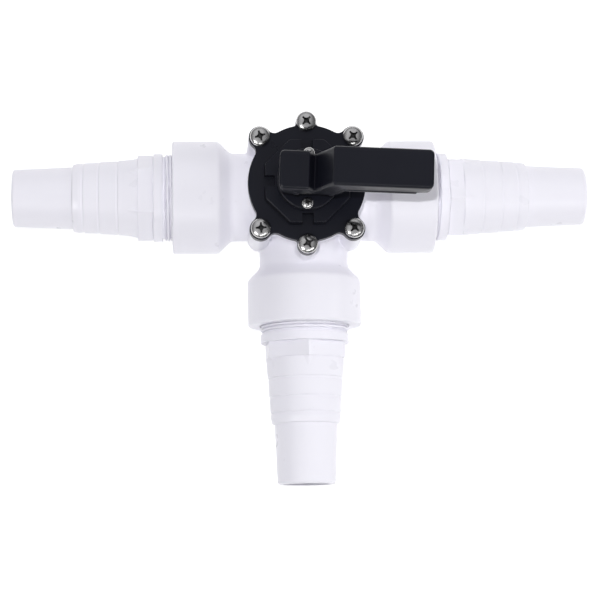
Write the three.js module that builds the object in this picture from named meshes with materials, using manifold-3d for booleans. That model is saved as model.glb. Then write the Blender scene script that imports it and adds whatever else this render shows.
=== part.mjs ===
// Three-way diverter valve for 32 mm and 38 mm pool hoses.
//
// A white moulded tee carries a round valve chamber. A black cover, held by six
// pan-head screws, closes the chamber, and a lever on top turns a curved diverter
// blade inside it. Three hose adapters are screwed into the threaded sockets.
//
// Units are millimetres. +Z is up, along the stem. The origin is the centre of the
// flat base, under the stem. The run ports face -X and +X, and the branch faces -Y.
// The lever points at the port that the blade closes: here it was left 2.5 degrees
// short of the right-hand port.

import * as THREE from "three";
import { mergeVertices } from "three/addons/utils/BufferGeometryUtils.js";
import Module from "manifold-3d";

const wasm = await Module();
wasm.setup();

// ---------------------------------------------------------------- dimensions

const GAP = 0.3; // left between pieces that touch on the real valve

// Facets round a circle, by the size of the piece.
const LARGE_ROUND = 32;
const TAIL_ROUND = 24;
const SMALL_ROUND = 16;
const SCREW_ROUND = 12;

// Tee body
const portHeight = 31; // port axes above the base
const chamberRadius = 30.2;
const chamberBore = 26;
const chamberFloor = 6;
const baseChamfer = 2.5;
const jointHeight = 67.5; // the face that the cover closes
const neckRadius = 24.25;
const coneStart = 40; // from the stem axis, along each port
const collarRadius = 31;
const collarStart = coneStart + collarRadius - neckRadius;
const collarFace = 72;
const collarEdge = 1;
const orificeRadius = 15.5; // where a port opens into the chamber
const seatStart = 33;
const seatRadius = 20; // smooth seat for the adapter's O-ring
const threadStart = 50;
const socketRadius = 24.2;
const bodyFlange = 7;
const bossBottom = 31;

// Cover
const coverRadius = 31.5;
const coverThickness = 6;
const domeApothem = 23;
const domeHeight = 5.5;
const domeDraft = 0.6;
const indexGroove = 6;
const spigotRadius = chamberBore - GAP;
const spigotDepth = 4.8;
const stemBore = 10.3;

// Cover screws, and the lugs and bosses that they sit in: four on the diagonals, two on Y
const diagonalOffset = 24.85;
const axialOffset = 33.1;
const diagonalLug = { distance: diagonalOffset * Math.SQRT2, radius: 6, fillet: 4 };
const axialLug = { distance: axialOffset, radius: 5.5, fillet: 1.5 };
const lugs = [45, 90, 135, 225, 270, 315].map((angle) => ({
  angle: THREE.MathUtils.degToRad(angle),
  ...(angle % 90 ? diagonalLug : axialLug),
}));
const coverScrew = {
  headRadius: 5.4, headHeight: 3.4, shankRadius: 2.6, shankLength: 15,
  recessWidth: 1.2, recessSpan: 5.6, recessDepth: 2,
};

// Heights of the parts stacked on the stem
const coverBottom = jointHeight + GAP;
const coverTop = coverBottom + coverThickness;
const domeTop = coverTop + domeHeight;
const spigotBottom = coverBottom - spigotDepth;
const washerThickness = 0.9;
const diverterTop = spigotBottom - GAP - washerThickness - GAP;
const hubWell = { radius: 16, floor: 74.3 }; // sunk into the dome
const hubBottom = hubWell.floor + 2 * GAP;
const hubRim = domeTop + 2 * GAP; // underside of the part that overhangs the dome
const hubTop = 82.4;
const hubRadius = 16.4;
const stemTop = 79.8;

// Diverter
const discRadius = 25.4;
const topDisc = 3.5;
const bottomDisc = 3;
const diverterBottom = 7;
const bladeRadius = 25.2;
const bladeThickness = 4.4;
const bladeHalfAngle = THREE.MathUtils.degToRad(48);
const pivotRadius = 6;
const pivotLength = 4;
const stemRadius = 10;
const squareHalf = 6;
const squareBottom = hubBottom - GAP;
const sealInner = 16.3;
const sealOuter = 18.3;
const sealDepth = 1.8;
const sealReach = 25.7;

// O-rings, as the radius of the ring's centre line and of its section
const stemRing = { radius: 8.9, section: 1.1 };
const stemRingHeights = [66.6, 71.4];
const coverRing = { radius: 24.65, section: 1.05 };
const coverRingHeight = 65.7;
const adapterRing = { radius: 18.4, section: 1.3 };

// Hose adapter. Distances run from the flange's socket side, outwards.
const threadRadius = 23.9;
const threadRoot = 22.4;
const threadPitch = 2.309;
const threadLength = 22;
const ridgesModelled = 3;
const spigotLength = 11.5;
const noseRadius = 19.6;
const adapterFlange = { radius: 24.2, thickness: 5 };
const hex = { acrossFlats: 41.6, core: 20.5, end: 13.8 };
const wideTail = { start: 21.3, end: 19.1, lead: 18.4, leadLength: 3.4, stop: 49.2 };
const barbs = [24, 34.3, 42.9]; // where each step of the wide tail ends
const barbStep = 0.3;
const narrowTail = { root: 17.1, tip: 15.7, stop: 82, edge: 1.4 };
const adapterBore = { thread: 15.1, wide: 14.7, tip: 13.1 };

// The three ports: which way they face, how much thread shows, and how the hex is turned
const ports = [
  { name: "left", turn: new THREE.Euler(0, -Math.PI / 2, 0), exposed: 5.3, hexTurn: 1 },
  { name: "right", turn: new THREE.Euler(0, Math.PI / 2, 0), exposed: 2.2, hexTurn: -18 },
  { name: "branch", turn: new THREE.Euler(Math.PI / 2, 0, 0), exposed: 4.5, hexTurn: -2 },
];

// Lever
const restTurn = THREE.MathUtils.degToRad(-2.5);
const leverHalfWidth = 10.6;
const leverDepth = 10; // height of the skirt, square to the top
const leverWall = 2.4;
const blockTop = 107.7;
const blockEnd = -16.8;
const blockFront = -0.6;
const valley = { x: 2.6, z: 101.5 }; // foot of the ramp, in front of the block
const gripStart = 11;
const gripTop = 122.6;
const gripEnd = 63.4;
const leverCorner = 2.8;
const pedestal = { from: -13, to: 11, halfWidth: 8.8, wall: 2.4 };
const handleFlange = { bottom: hubTop + GAP, top: 85.4 };
const gripRibs = [22, 32, 42, 52];
const ribThickness = 1.8;
const handleScrewOffset = 13.4;
const handleScrew = {
  headRadius: 3.1, headHeight: 2.4, shankRadius: 1.5, shankLength: 8.4,
  recessWidth: 0.8, recessSpan: 3.2, recessDepth: 1.3,
};
const hubScrew = {
  headRadius: 4.7, headHeight: 3, shankRadius: 2.2, shankLength: 14,
  recessWidth: 1, recessSpan: 4.6, recessDepth: 1.8,
};
const hubWasher = { outer: 7.4, inner: 2.8, thickness: 1.1 };
const hubRecess = { radius: 8, floor: 80.2 };

// ---------------------------------------------------------------- materials

function plastic(color, roughness) {
  return new THREE.MeshStandardMaterial({ color, roughness, metalness: 0 });
}

const whitePlastic = plastic(0xecebf2, 0.38);
const blackPlastic = plastic(0x191b20, 0.3);
const greyPlastic = plastic(0xb9bcc2, 0.45);
const blackRubber = plastic(0x1c1c1c, 0.8);
const slipPlastic = plastic(0xf2f0e6, 0.5);
const steel = new THREE.MeshStandardMaterial({ color: 0xc9cacd, roughness: 0.25, metalness: 1 });

// ------------------------------------------------------------ solid building

// A manifold-3d solid from a closed three.js geometry.
function solid(geometry) {
  const bare = geometry.clone();
  bare.deleteAttribute("normal");
  bare.deleteAttribute("uv");
  const merged = mergeVertices(bare, 1e-4);
  return new wasm.Manifold(new wasm.Mesh({
    numProp: 3,
    vertProperties: merged.attributes.position.array,
    triVerts: new Uint32Array(merged.index.array),
  }));
}

function geometryOf(made) {
  const mesh = made.getMesh();
  return new THREE.BufferGeometry()
    .setAttribute("position", new THREE.BufferAttribute(mesh.vertProperties, 3))
    .setIndex(new THREE.BufferAttribute(mesh.triVerts, 1));
}

function union(solids) {
  return solids.reduce((all, next) => all.add(next));
}

// A profile of [radius, height] points, from bottom to top, turned round Z.
function turned(profile, segments) {
  const points = profile.map(([radius, height]) => new THREE.Vector2(radius, height));
  return new THREE.LatheGeometry(points, segments).rotateX(Math.PI / 2);
}

function disc(radius, bottom, top, segments = LARGE_ROUND) {
  return turned([[0, bottom], [radius, bottom], [radius, top], [0, top]], segments);
}

function box(fromX, toX, fromY, toY, fromZ, toZ) {
  return new THREE.BoxGeometry(toX - fromX, toY - fromY, toZ - fromZ)
    .translate((fromX + toX) / 2, (fromY + toY) / 2, (fromZ + toZ) / 2);
}

function extruded(outline, bottom, top) {
  const shape = new THREE.Shape(outline);
  return new THREE.ExtrudeGeometry(shape, { depth: top - bottom, bevelEnabled: false })
    .translate(0, 0, bottom);
}

function torus({ radius, section }, height = 0) {
  return new THREE.TorusGeometry(radius, section, 6, TAIL_ROUND).translate(0, 0, height);
}

// Points on an arc, both ends included.
function arc(centre, radius, from, to, steps) {
  return Array.from({ length: steps + 1 }, (_, i) => {
    const angle = from + ((to - from) * i) / steps;
    return new THREE.Vector2(
      centre.x + radius * Math.cos(angle),
      centre.y + radius * Math.sin(angle),
    );
  });
}

// The outline shared by the cover and the body's top flange: a circle with six
// rounded lugs, each joined to it by a hollow fillet.
function lugOutline(radius) {
  const points = [];
  const sides = lugs.map((lug) => {
    const reach = radius + lug.fillet;
    const cosine = (reach ** 2 + lug.distance ** 2 - (lug.radius + lug.fillet) ** 2)
      / (2 * reach * lug.distance);
    return { ...lug, spread: Math.acos(cosine), reach };
  });
  sides.forEach((lug, i) => {
    const next = sides[(i + 1) % sides.length];
    const centre = new THREE.Vector2(
      lug.distance * Math.cos(lug.angle),
      lug.distance * Math.sin(lug.angle),
    );
    const [before, after] = [-1, 1].map((side) => {
      const angle = lug.angle + side * lug.spread;
      const fillet = new THREE.Vector2(Math.cos(angle), Math.sin(angle)).multiplyScalar(lug.reach);
      return { angle, fillet, towards: Math.atan2(centre.y - fillet.y, centre.x - fillet.x) };
    });
    const unwrap = (angle, near) => angle + 2 * Math.PI * Math.round((near - angle) / (2 * Math.PI));
    const inward = before.angle - Math.PI;
    points.push(...arc(before.fillet, lug.fillet, inward + 2 * Math.PI,
      unwrap(before.towards, inward + 2 * Math.PI + 1), 3));
    const lugFrom = unwrap(before.towards + Math.PI, lug.angle - 1);
    const lugTo = unwrap(after.towards + Math.PI, lug.angle + 1);
    points.push(...arc(centre, lug.radius, lugFrom, lugTo, 8).slice(1));
    const outward = after.angle + Math.PI;
    points.push(...arc(after.fillet, lug.fillet, unwrap(after.towards, outward - 1), outward, 3).slice(1));
    const nextStart = next.angle - next.spread + (i === sides.length - 1 ? 2 * Math.PI : 0);
    points.push(...arc(new THREE.Vector2(), radius, after.angle, nextStart, 5).slice(1, -1));
  });
  return points;
}

function atEachLug(make) {
  return lugs.map((lug) => make(lug).translate(
    lug.distance * Math.cos(lug.angle),
    lug.distance * Math.sin(lug.angle),
    0,
  ));
}

// ------------------------------------------------------------------ tee body

// A port's outer shape and its bore, round Z, to be turned towards the port.
function portOuter() {
  return turned([
    [0, 0], [neckRadius, 0], [neckRadius, coneStart], [collarRadius, collarStart],
    [collarRadius, collarFace - collarEdge], [collarRadius - collarEdge, collarFace], [0, collarFace],
  ], LARGE_ROUND);
}

function portBore() {
  return turned([
    [0, 0], [orificeRadius, 0], [orificeRadius, seatStart], [seatRadius, seatStart],
    [seatRadius, threadStart], [socketRadius, threadStart], [socketRadius, collarFace + 1],
    [0, collarFace + 1],
  ], LARGE_ROUND);
}

function towardsPort(geometry, port) {
  const matrix = new THREE.Matrix4().makeRotationFromEuler(port.turn).setPosition(0, 0, portHeight);
  return geometry.applyMatrix4(matrix);
}

function valveBody() {
  const chamber = turned([
    [0, 0], [chamberRadius - baseChamfer, 0], [chamberRadius, baseChamfer],
    [chamberRadius, jointHeight - 1], [0, jointHeight - 1],
  ], LARGE_ROUND);
  const outer = union([
    solid(chamber),
    ...ports.map((port) => solid(towardsPort(portOuter(), port))),
    solid(extruded(lugOutline(coverRadius - 0.6), jointHeight - bodyFlange, jointHeight)),
    ...atEachLug((lug) => disc(lug.radius, bossBottom, jointHeight - 1, SMALL_ROUND)).map(solid),
  ]);
  const screwHole = coverScrew.shankRadius + GAP;
  const screwEnd = coverTop + GAP - coverScrew.shankLength - GAP;
  const inner = union([
    solid(disc(chamberBore, chamberFloor, jointHeight + 1)),
    solid(disc(pivotRadius + GAP, diverterBottom - pivotLength - GAP, chamberFloor + 1, SMALL_ROUND)),
    ...ports.map((port) => solid(towardsPort(portBore(), port))),
    ...atEachLug(() => disc(screwHole, screwEnd, jointHeight + 1, 12)).map(solid),
  ]);
  return outer.subtract(inner);
}

// --------------------------------------------------------------------- cover

function cover() {
  const corner = Math.PI / 8;
  const domeBase = domeApothem / Math.cos(corner);
  const dome = new THREE.CylinderGeometry(domeBase - domeDraft, domeBase, domeHeight + 0.5, 8)
    .rotateX(Math.PI / 2)
    .rotateZ(corner)
    .translate(0, 0, coverTop + (domeHeight - 0.5) / 2);
  const grooves = [0, 90, 180, 270].map((angle) => solid(
    box(hubWell.radius + 1.4, domeApothem + 3, -indexGroove / 2, indexGroove / 2, coverTop, domeTop + 1)
      .rotateZ(THREE.MathUtils.degToRad(angle)),
  ));
  const ringGroove = turned([
    [spigotRadius - 2.5, coverRingHeight - 1.4], [spigotRadius + 1, coverRingHeight - 1.4],
    [spigotRadius + 1, coverRingHeight + 1.4], [spigotRadius - 2.5, coverRingHeight + 1.4],
    [spigotRadius - 2.5, coverRingHeight - 1.4],
  ], LARGE_ROUND);
  const outer = union([
    solid(extruded(lugOutline(coverRadius), coverBottom, coverTop)),
    solid(dome),
    solid(disc(spigotRadius, spigotBottom, coverBottom + 1)),
  ]);
  return outer
    .subtract(union(grooves))
    .subtract(solid(ringGroove))
    .subtract(solid(disc(stemBore, spigotBottom - 1, domeTop + 1, TAIL_ROUND)))
    .subtract(solid(disc(hubWell.radius, hubWell.floor, domeTop + 1)))
    .subtract(union(atEachLug(() => disc(coverScrew.shankRadius + GAP, coverBottom - 1, coverTop + 1, 12))
      .map(solid)));
}

// -------------------------------------------------------------------- screws

// A pan-head screw with a cross recess, its head's underside at height 0.
function panScrew(size) {
  const crown = [0.4, 1].map((share) => [
    size.headRadius * Math.cos((share * Math.PI) / 2.6) ** 0.8,
    size.headHeight * (0.45 + 0.55 * Math.sin((share * Math.PI) / 2)),
  ]);
  const body = turned([
    [0, -size.shankLength], [size.shankRadius * 0.4, -size.shankLength],
    [size.shankRadius, -size.shankLength + 2 * size.shankRadius], [size.shankRadius, 0],
    [size.headRadius, 0], [size.headRadius, size.headHeight * 0.45],
    ...crown, [0, size.headHeight],
  ], SCREW_ROUND);
  const [half, span] = [size.recessWidth / 2, size.recessSpan / 2];
  const [floor, top] = [size.headHeight - size.recessDepth, size.headHeight + 1];
  const recess = solid(box(-span, span, -half, half, floor, top))
    .add(solid(box(-half, half, -span, span, floor, top)));
  return solid(body).subtract(recess);
}

// ------------------------------------------------------------------ diverter

function bladeSector(inner, outer, halfAngle, bottom, top) {
  const centre = new THREE.Vector2();
  return extruded([
    ...arc(centre, outer, -halfAngle, halfAngle, 16),
    ...arc(centre, inner, halfAngle, -halfAngle, 16),
  ], bottom, top);
}

// The ring-shaped space on the blade's face that the seal fills, grown by a margin.
function sealSpace(margin, reach) {
  const ring = turned([
    [sealInner - margin, 12], [sealOuter + margin, 12], [sealOuter + margin, 30],
    [sealInner - margin, 30], [sealInner - margin, 12],
  ], TAIL_ROUND).rotateY(Math.PI / 2).translate(0, 0, portHeight);
  const band = bladeSector(sealReach - sealDepth - margin - 0.2, reach, Math.PI / 3,
    portHeight - 24, portHeight + 24);
  return solid(ring).intersect(solid(band));
}

function diverter() {
  const ringGroove = (height) => turned([
    [stemRing.radius - stemRing.section - GAP, height - 1.4], [stemRadius + 1, height - 1.4],
    [stemRadius + 1, height + 1.4], [stemRing.radius - stemRing.section - GAP, height + 1.4],
    [stemRing.radius - stemRing.section - GAP, height - 1.4],
  ], TAIL_ROUND);
  const bladeBottom = diverterBottom + bottomDisc / 2;
  const body = union([
    solid(disc(discRadius, diverterTop - topDisc, diverterTop)),
    solid(disc(discRadius, diverterBottom, diverterBottom + bottomDisc)),
    solid(disc(pivotRadius, diverterBottom - pivotLength, diverterBottom + 1, SMALL_ROUND)),
    solid(bladeSector(bladeRadius - bladeThickness, bladeRadius, bladeHalfAngle,
      bladeBottom, diverterTop - 1)),
    solid(disc(stemRadius, diverterTop - 1, squareBottom, TAIL_ROUND)),
    solid(box(-squareHalf, squareHalf, -squareHalf, squareHalf, squareBottom - 1, stemTop)),
  ]);
  const pilot = disc(hubScrew.shankRadius + GAP, stemTop - hubScrew.shankLength, stemTop + 1, 12);
  return body
    .subtract(union([...stemRingHeights.map((height) => solid(ringGroove(height))), solid(pilot)]))
    .subtract(sealSpace(GAP, bladeRadius + 2));
}

// -------------------------------------------------------------- hose adapter

function adapter(hexTurn) {
  const { radius: flangeRadius, thickness } = adapterFlange;
  const thread = [];
  for (let i = ridgesModelled; i > 0; i -= 1) {
    thread.push([threadRadius, -i * threadPitch], [threadRoot, -(i - 0.5) * threadPitch]);
  }
  const tailLength = wideTail.stop - wideTail.leadLength - hex.end;
  const slope = (wideTail.end - wideTail.start) / tailLength;
  const steps = barbs.flatMap((at) => {
    const radius = wideTail.start + slope * (at - hex.end);
    return [[radius, at], [radius - barbStep, at + 0.2]];
  });
  const ringCentre = -threadLength - spigotLength / 2;
  const grooveHalf = adapterRing.section + GAP;
  const grooveFloor = adapterRing.radius - adapterRing.section - GAP;
  const outside = turned([
    [0, -threadLength - spigotLength], [noseRadius, -threadLength - spigotLength],
    [noseRadius, ringCentre - grooveHalf], [grooveFloor, ringCentre - grooveHalf],
    [grooveFloor, ringCentre + grooveHalf], [noseRadius, ringCentre + grooveHalf],
    [noseRadius, -threadLength], [threadRadius - 0.8, -threadLength],
    [threadRadius, -threadLength + 1], ...thread, [threadRoot, 0],
    [flangeRadius, 0], [flangeRadius, thickness], [hex.core, thickness + 0.1],
    [hex.core, hex.end - 0.1], [wideTail.start, hex.end], ...steps,
    [wideTail.end, wideTail.stop - wideTail.leadLength], [wideTail.lead, wideTail.stop],
    [narrowTail.root, wideTail.stop + 0.1], [narrowTail.tip, narrowTail.stop - narrowTail.edge],
    [narrowTail.tip - 0.5 * narrowTail.edge, narrowTail.stop], [0, narrowTail.stop],
  ], TAIL_ROUND);
  const hexRadius = hex.acrossFlats / 2 / Math.cos(Math.PI / 6);
  const nut = new THREE.CylinderGeometry(hexRadius, hexRadius, hex.end - thickness + 1, 6)
    .rotateX(Math.PI / 2)
    .rotateZ(THREE.MathUtils.degToRad(hexTurn))
    .translate(0, 0, (hex.end + thickness - 1) / 2);
  const bore = turned([
    [0, -threadLength - spigotLength - 1], [adapterBore.thread, -threadLength - spigotLength - 1],
    [adapterBore.thread, 8], [adapterBore.wide, wideTail.stop - 6],
    [adapterBore.tip, wideTail.stop + 2], [adapterBore.tip, narrowTail.stop + 1],
    [0, narrowTail.stop + 1],
  ], TAIL_ROUND);
  return solid(outside).add(solid(nut)).subtract(solid(bore));
}

// ---------------------------------------------------------- drive hub, lever

function driveHub() {
  const pilot = handleScrew.shankRadius + GAP;
  const square = squareHalf + GAP;
  return solid(disc(hubRadius, hubRim, hubTop, TAIL_ROUND))
    .add(solid(disc(hubWell.radius - 2 * GAP, hubBottom, hubTop - 1, TAIL_ROUND)))
    .subtract(solid(box(-square, square, -square, square, hubBottom - 1, hubTop + 1)))
    .subtract(solid(disc(hubRecess.radius, hubRecess.floor, hubTop + 1, SMALL_ROUND)))
    .subtract(union([-1, 1].map((side) => solid(
      disc(pilot, hubBottom + 1.2, hubTop + 1, 12).translate(0, side * handleScrewOffset, 0),
    ))));
}

// Side outline of the lever's bar, from the block over the ramp to the grip, with
// every face moved inwards by inset. The open underside stays where it is.
function leverSide(inset) {
  const shiftOf = (run, rise) => (inset * (Math.hypot(run, rise) - run)) / rise;
  const [run, rise] = [gripStart - valley.x, gripTop - valley.z];
  const rampShift = shiftOf(run, rise);
  const frontShift = shiftOf(valley.x - blockFront, blockTop - valley.z);
  const under = leverDepth + (inset ? 1 : 0);
  const underRamp = (z) => valley.x + ((z - valley.z) * run) / rise
    + ((leverDepth - inset) * Math.hypot(run, rise)) / rise;
  const floor = valley.z - inset;
  return [
    [blockEnd + inset, blockTop - under], [underRamp(blockTop - under), blockTop - under],
    [underRamp(gripTop - under), gripTop - under], [gripEnd - inset, gripTop - under],
    [gripEnd - inset, gripTop - inset], [gripStart + rampShift, gripTop - inset],
    [valley.x + rampShift, floor], ...(inset ? [[valley.x - frontShift, floor]] : []),
    [blockFront - frontShift, blockTop - inset], [blockEnd + inset, blockTop - inset],
  ].map(([x, z]) => new THREE.Vector2(x, z));
}

function leverBar(inset) {
  const half = leverHalfWidth - inset;
  const corner = leverCorner - inset / 2;
  const side = new THREE.ExtrudeGeometry(new THREE.Shape(leverSide(inset)),
    { depth: 2 * half, bevelEnabled: false }).rotateX(Math.PI / 2).translate(0, half, 0);
  const [x0, x1] = [blockEnd + inset, gripEnd - inset];
  const quarter = Math.PI / 2;
  const plan = [
    [x1 - corner, half - corner, 0], [x0 + corner, half - corner, 1],
    [x0 + corner, corner - half, 2], [x1 - corner, corner - half, 3],
  ].flatMap(([x, y, turn]) => arc(new THREE.Vector2(x, y), corner,
    turn * quarter, (turn + 1) * quarter, 4));
  return solid(side).intersect(solid(extruded(plan, handleFlange.bottom, gripTop + 1)));
}

function handle() {
  const post = (inset, bottom, top) => solid(box(pedestal.from + inset, pedestal.to - inset,
    inset - pedestal.halfWidth, pedestal.halfWidth - inset, bottom, top));
  const outer = union([
    leverBar(0),
    post(0, handleFlange.top - 1, blockTop - leverDepth + 1),
    solid(disc(hubRadius, handleFlange.bottom, handleFlange.top, TAIL_ROUND)),
  ]);
  const hollow = leverBar(leverWall)
    .subtract(union(gripRibs.map((x) => solid(
      box(x - ribThickness / 2, x + ribThickness / 2, -20, 20, 90, 130)))))
    .add(post(pedestal.wall, handleFlange.bottom - 1, blockTop - leverDepth + 2));
  const holes = union([-1, 1].map((side) => solid(
    disc(handleScrew.shankRadius + GAP, handleFlange.bottom - 1, handleFlange.top + 1, 12)
      .translate(0, side * handleScrewOffset, 0),
  )));
  return outer.subtract(hollow).subtract(holes);
}

// ------------------------------------------------------------------ assembly

const valve = new THREE.Group();

function add(name, geometry, material, parent = valve) {
  const mesh = new THREE.Mesh(geometry, material);
  mesh.name = name;
  parent.add(mesh);
  return mesh;
}

function addScrew(name, size, x, y, z, parent = valve) {
  add(name, geometryOf(panScrew(size)), steel, parent).position.set(x, y, z);
}

add("valve_body", geometryOf(valveBody()), whitePlastic);
add("cover", geometryOf(cover()), blackPlastic);
add("cover_o_ring", torus(coverRing, coverRingHeight), blackRubber);
add("thrust_washer", turned([
  [stemRadius + 1, diverterTop + GAP], [stemRadius + 12, diverterTop + GAP],
  [stemRadius + 12, diverterTop + GAP + washerThickness],
  [stemRadius + 1, diverterTop + GAP + washerThickness], [stemRadius + 1, diverterTop + GAP],
], TAIL_ROUND), slipPlastic);
lugs.forEach((lug, i) => addScrew(`cover_screw_${i + 1}`, coverScrew,
  lug.distance * Math.cos(lug.angle), lug.distance * Math.sin(lug.angle), coverTop + GAP));

// What turns with the lever
const rotor = new THREE.Group();
rotor.rotation.z = restTurn;
valve.add(rotor);
add("diverter", geometryOf(diverter()), greyPlastic, rotor);
add("diverter_seal", geometryOf(sealSpace(0, sealReach)), blackRubber, rotor);
stemRingHeights.forEach((height, i) => {
  add(`stem_o_ring_${i + 1}`, torus(stemRing, height), blackRubber, rotor);
});
add("drive_hub", geometryOf(driveHub()), blackPlastic, rotor);
add("hub_washer", turned([
  [hubWasher.inner, hubRecess.floor + GAP], [hubWasher.outer, hubRecess.floor + GAP],
  [hubWasher.outer, hubRecess.floor + GAP + hubWasher.thickness],
  [hubWasher.inner, hubRecess.floor + GAP + hubWasher.thickness],
  [hubWasher.inner, hubRecess.floor + GAP],
], SMALL_ROUND), steel, rotor);
addScrew("hub_screw", hubScrew, 0, 0, hubRecess.floor + 2 * GAP + hubWasher.thickness, rotor);
add("handle", geometryOf(handle()), blackPlastic, rotor);
[-1, 1].forEach((side, i) => addScrew(`handle_screw_${i + 1}`, handleScrew,
  0, side * handleScrewOffset, handleFlange.top + GAP, rotor));

for (const port of ports) {
  const group = new THREE.Group();
  group.rotation.copy(port.turn);
  group.position.set(0, 0, portHeight);
  valve.add(group);
  const flangeFace = collarFace + port.exposed;
  add(`${port.name}_adapter`, geometryOf(adapter(port.hexTurn)), whitePlastic, group)
    .position.z = flangeFace;
  add(`${port.name}_adapter_o_ring`, torus(adapterRing), blackRubber, group)
    .position.z = flangeFace - threadLength - spigotLength / 2;
}

export default valve;
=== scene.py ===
"""Looks of a three-way diverter valve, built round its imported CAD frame.

Shapes are made in millimetres, in the frame of the CAD model, and turned to metres
as each piece is placed: +Z is up along the stem, the origin is the centre of the base.
"""
import math

import bpy
import numpy as np
from mathutils import Matrix, Vector


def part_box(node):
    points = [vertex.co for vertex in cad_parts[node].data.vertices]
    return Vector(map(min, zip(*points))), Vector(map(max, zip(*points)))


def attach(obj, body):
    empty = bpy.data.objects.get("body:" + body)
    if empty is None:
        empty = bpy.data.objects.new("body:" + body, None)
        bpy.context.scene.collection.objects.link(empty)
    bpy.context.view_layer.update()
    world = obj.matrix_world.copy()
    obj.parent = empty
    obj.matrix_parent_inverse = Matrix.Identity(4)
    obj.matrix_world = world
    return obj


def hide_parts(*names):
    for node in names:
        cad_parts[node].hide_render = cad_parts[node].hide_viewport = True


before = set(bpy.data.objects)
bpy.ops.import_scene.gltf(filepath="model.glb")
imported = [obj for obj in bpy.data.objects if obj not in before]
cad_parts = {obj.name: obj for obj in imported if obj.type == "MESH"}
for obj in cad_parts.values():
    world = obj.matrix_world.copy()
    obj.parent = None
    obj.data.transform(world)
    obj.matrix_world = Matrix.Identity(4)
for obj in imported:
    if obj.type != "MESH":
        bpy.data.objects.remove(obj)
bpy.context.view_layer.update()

MM = 0.001
TURN = 2 * math.pi


def corners(node):
    """Lowest and highest corner of a CAD node, in millimetres."""
    low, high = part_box(node)
    return np.array(low) / MM, np.array(high) / MM


# ---------------------------------------------------------------- dimensions

GAP = 0.3
PORT_HEIGHT = 31.0
JOINT_HEIGHT = corners("valve_body")[1][2]
CHAMBER_RADIUS, CHAMBER_BORE, CHAMBER_FLOOR = 30.2, 26.0, 6.0
NECK_RADIUS, CONE_START = 24.25, 40.0
COLLAR_RADIUS, COLLAR_FACE = 31.0, 72.0
PORT_BORE, NOSE_SEAT, NOSE_SEAT_START = 15.5, 20.0, 33.0
SOCKET_BORE, SOCKET_START = 24.2, 50.2
LUG_RADIUS, AXIS_LUG_RADIUS = 6.0, 5.5
LUG_FILLET, AXIS_LUG_FILLET = 4.0, 1.5
BOSS_BOTTOM = 31.0
SCREW_HOLE = 2.9

COVER_RADIUS = 31.5
COVER_BOTTOM = JOINT_HEIGHT + GAP
COVER_TOP = COVER_BOTTOM + 6
DOME_APOTHEM, DOME_CORNER = 23.0, 3.2
SPIGOT_RADIUS, SPIGOT_GROOVE_FLOOR, STEM_HOLE = 25.7, 23.2, 10.3
DOME_TOP = corners("cover")[1][2]
SPIGOT_BOTTOM = corners("cover")[0][2]
WELL_RADIUS, WELL_FLOOR = 16.0, 74.3

HUB_LOW, HUB_HIGH = (point[2] for point in corners("drive_hub"))
STEM_TOP = corners("diverter")[1][2]
DISC_TOP = corners("thrust_washer")[0][2] - GAP
RING_GROOVE = 1.4  # half the width of each O-ring groove
COVER_RING_HEIGHT = JOINT_HEIGHT - 1.8
STEM_RING_HEIGHTS = (66.6, 71.4)
HANDLE_LOW, GRIP_TOP = (point[2] for point in corners("handle"))
FLANGE_TOP = HANDLE_LOW + 2.7
HUB_RADIUS, HUB_DISC_RADIUS, HUB_SEAT = 15.4, 16.4, 80.2
HUB_WASHER_RADIUS, HUB_WASHER_BORE, HUB_WASHER_THICKNESS = 7.4, 2.8, 1.1
HANDLE_SCREW_HOLE, HANDLE_SCREW_OFFSET = 1.8, 13.4
SQUARE_HALF = 6.0
PIVOT_RADIUS, PIVOT_LOW = 6.0, 3.0
REST_TURN = math.radians(-2.5)

# The three ports: name, rotation that points +Z out of the port, turn of the hexagon
PORTS = [
    ("left", Matrix.Rotation(-math.pi / 2, 4, "Y"), 1.0),
    ("right", Matrix.Rotation(math.pi / 2, 4, "Y"), -18.0),
    ("branch", Matrix.Rotation(math.pi / 2, 4, "X"), -2.0),
]
LIFT = Matrix.Translation((0, 0, PORT_HEIGHT))


# ------------------------------------------------------------ lines and rings

def rounded(points, closed=False):
    """A line through (x, y, radius) points, each corner turned into an arc of its radius."""
    count = len(points)
    line = []
    for i, (x, y, radius) in enumerate(points):
        here = np.array([x, y], float)
        if radius == 0 or (not closed and i in (0, count - 1)):
            line.append(here)
            continue
        before = np.array(points[i - 1][:2], float) - here
        after = np.array(points[(i + 1) % count][:2], float) - here
        before /= np.linalg.norm(before)
        after /= np.linalg.norm(after)
        half = math.acos(np.clip(before @ after, -1, 1)) / 2
        middle = (before + after) / np.linalg.norm(before + after)
        centre = here + middle * radius / math.sin(half)
        start = here + before * radius / math.tan(half) - centre
        swing = math.pi - 2 * half
        if np.cross(before, after) > 0:
            swing = -swing
        steps = max(2, round(abs(swing) / math.radians(15)))
        for angle in np.linspace(0, swing, steps + 1):
            cos, sin = math.cos(angle), math.sin(angle)
            line.append(centre + [cos * start[0] - sin * start[1], sin * start[0] + cos * start[1]])
    return np.array(line)


def offset(outline, distance):
    """A counter-clockwise closed outline moved inwards by a distance."""
    ahead = np.roll(outline, -1, axis=0) - outline
    ahead /= np.linalg.norm(ahead, axis=1, keepdims=True)
    normal = np.stack([-ahead[:, 1], ahead[:, 0]], axis=1)
    previous = np.roll(normal, 1, axis=0)
    spread = 1 + np.sum(normal * previous, axis=1, keepdims=True)
    return outline + distance * (normal + previous) / spread


def circle(radius, count):
    angle = np.arange(count) * TURN / count
    return np.stack([radius * np.cos(angle), radius * np.sin(angle)], axis=1)


def lug_places():
    """Centre of each cover screw, by number."""
    places = []
    for number in range(1, 7):
        low, high = corners(f"cover_screw_{number}")
        places.append((low[:2] + high[:2]) / 2)
    return places


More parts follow.
